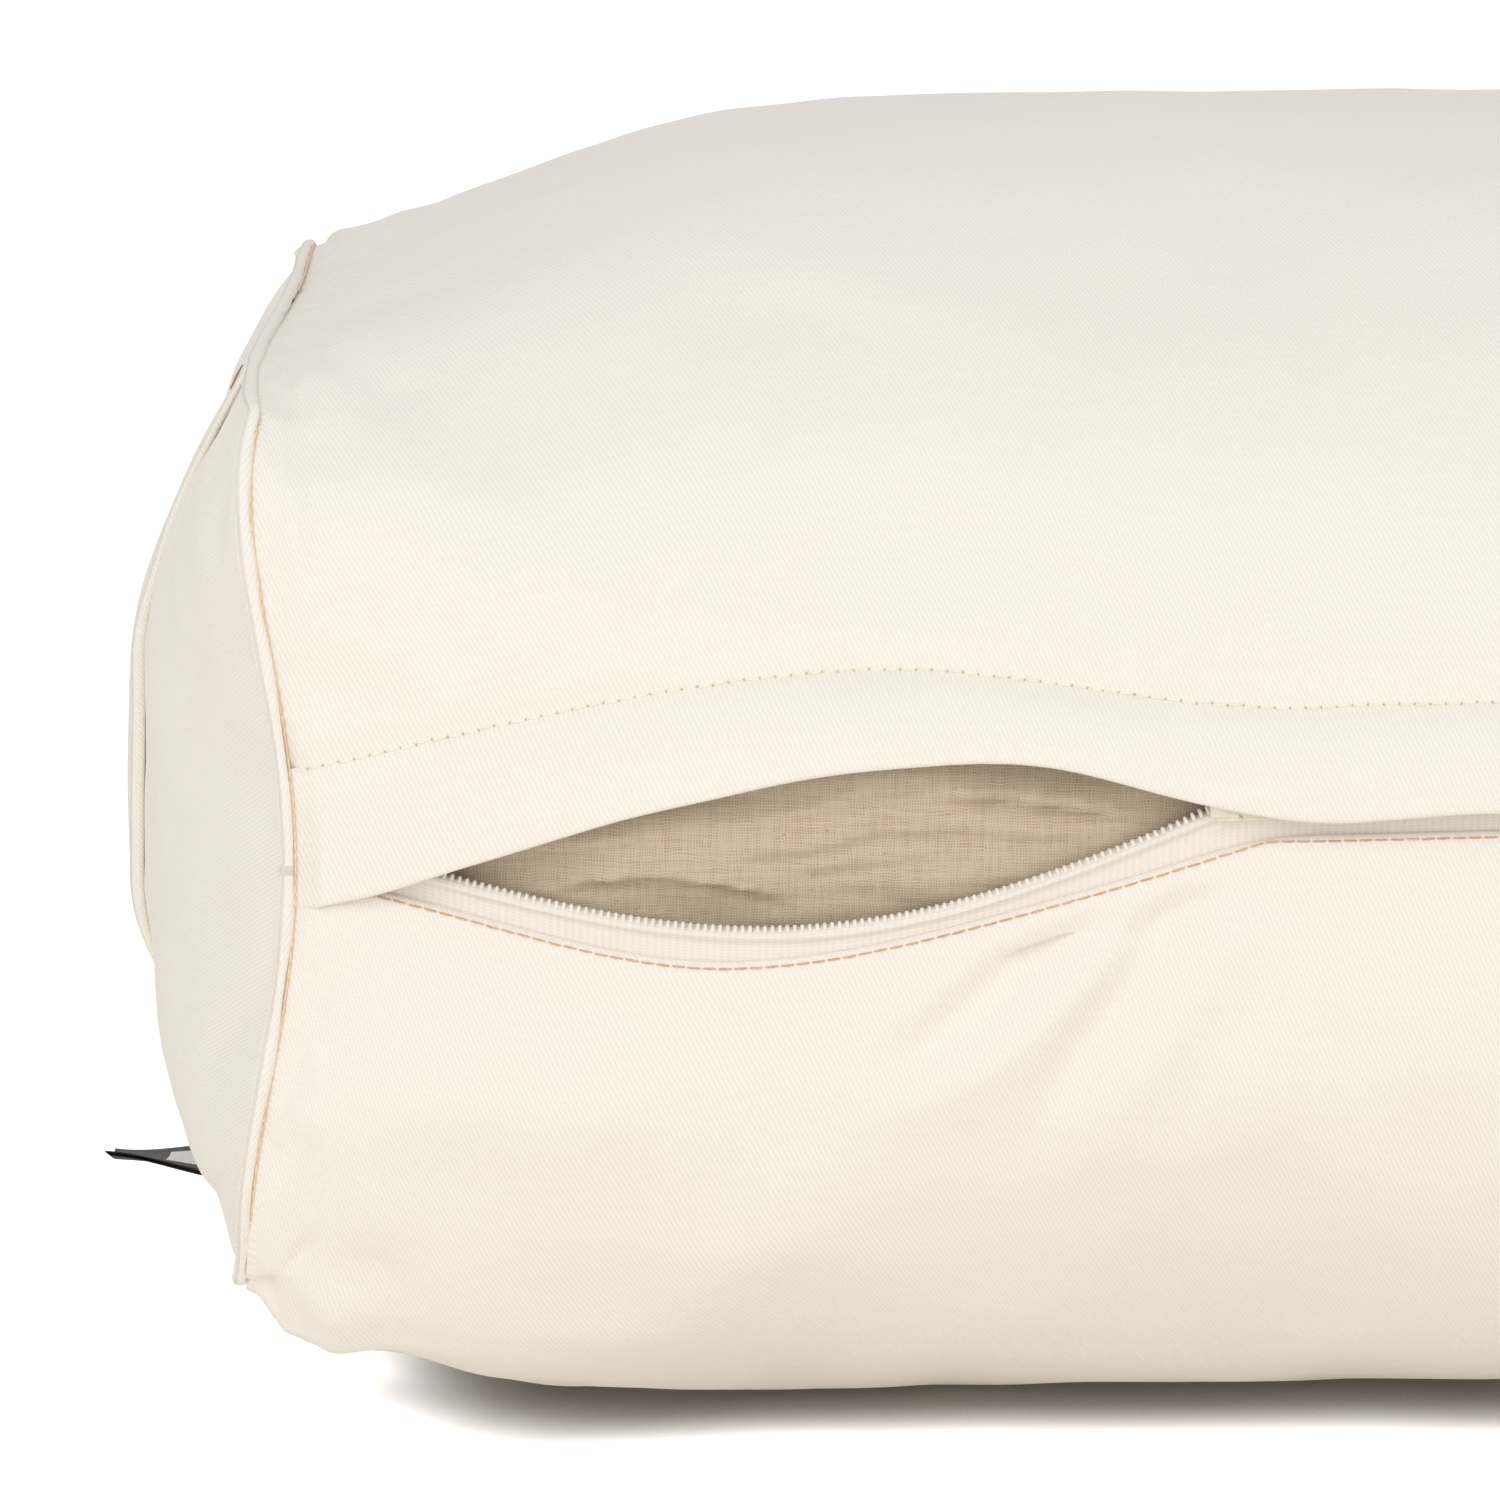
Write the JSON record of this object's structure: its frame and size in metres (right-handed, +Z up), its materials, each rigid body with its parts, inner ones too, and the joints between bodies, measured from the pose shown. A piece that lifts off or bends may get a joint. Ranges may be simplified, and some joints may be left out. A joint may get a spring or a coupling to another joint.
{
  "type": "lumbar support cushion",
  "caption": "Long boxed back cushion: twill cover with a lapped front zip, end carry strap and side label, over a muslin inner cushion, partly unzipped.",
  "frame": {"origin": "middle of the flat underside the cushion rests on", "axes": "+X along the cushion's length, with the carry strap and label at the -X end; -Y towards the zip side; +Z up"},
  "size_m": [0.558, 0.3249, 0.2187],
  "materials": {
    "twill": "cream cotton twill",
    "zip_tape": "woven tape",
    "zip_coil": "moulded coil",
    "zip_metal": "cream enamel",
    "tan_thread": "thread",
    "cream_thread": "thread",
    "seam_cord": "turned seam",
    "label_cloth": "damask weave",
    "label_patch": "damask weave",
    "muslin": "unbleached muslin",
    "filling": "loose fibre"
  },
  "bodies": {
    "cushion": {"cover_wrap_panel": "twill", "end_panel_left": "twill", "end_panel_right": "twill", "zip_tape_upper": "zip_tape", "zip_tape_lower": "zip_tape", "zip_coil_upper": "zip_coil", "zip_coil_lower": "zip_coil", "zip_stop_left": "zip_metal", "zip_stop_right": "zip_metal", "flap_topstitch": "cream_thread", "zip_edge_stitch": "tan_thread", "end_seam_left": "seam_cord", "end_seam_right": "seam_cord", "liner_wrap": "muslin", "liner_end_left": "muslin", "liner_end_right": "muslin", "fill_core": "filling"},
    "zip_slider": {"slider_body": "zip_metal"},
    "pull": {"pull_tab": "zip_metal"},
    "flap": {"zip_flap": "twill"},
    "strap": {"carry_strap": "twill", "strap_tack_top": "tan_thread", "strap_tack_bottom": "tan_thread"},
    "label": {"woven_label": "label_cloth", "label_patch": "label_patch"}
  },
  "joints": [
    {"name": "slider_travel", "type": "hinge", "parent": "cushion", "child": "zip_slider", "pos_m": [0, 0.61423, -1.2327], "axis": [0, 0.8682, 0.4961], "range_deg": [-4.81, 11.57], "deforming": ["zip_coil_lower", "zip_coil_upper", "zip_tape_lower", "zip_tape_upper"]},
    {"name": "pull_swing", "type": "hinge", "parent": "zip_slider", "child": "pull", "pos_m": [-0.09205, -0.1603, 0.11984], "axis": [0.0292, 0.9996, 0.0007], "range_deg": [-1.5, 56]},
    {"name": "flap_lift", "type": "hinge", "parent": "cushion", "child": "flap", "pos_m": [-0.1, -0.1575, 0.1395], "axis": [-1, 0, 0], "range_deg": [0, 50]},
    {"name": "strap_lift", "type": "slide", "parent": "cushion", "child": "strap", "axis": [-1, 0, 0], "range_m": [0, 0.02]},
    {"name": "label_flap", "type": "hinge", "parent": "cushion", "child": "label", "pos_m": [-0.2436, 0, 0.0202], "axis": [0, 1, 0], "range_deg": [-25, 25]}
  ]
}
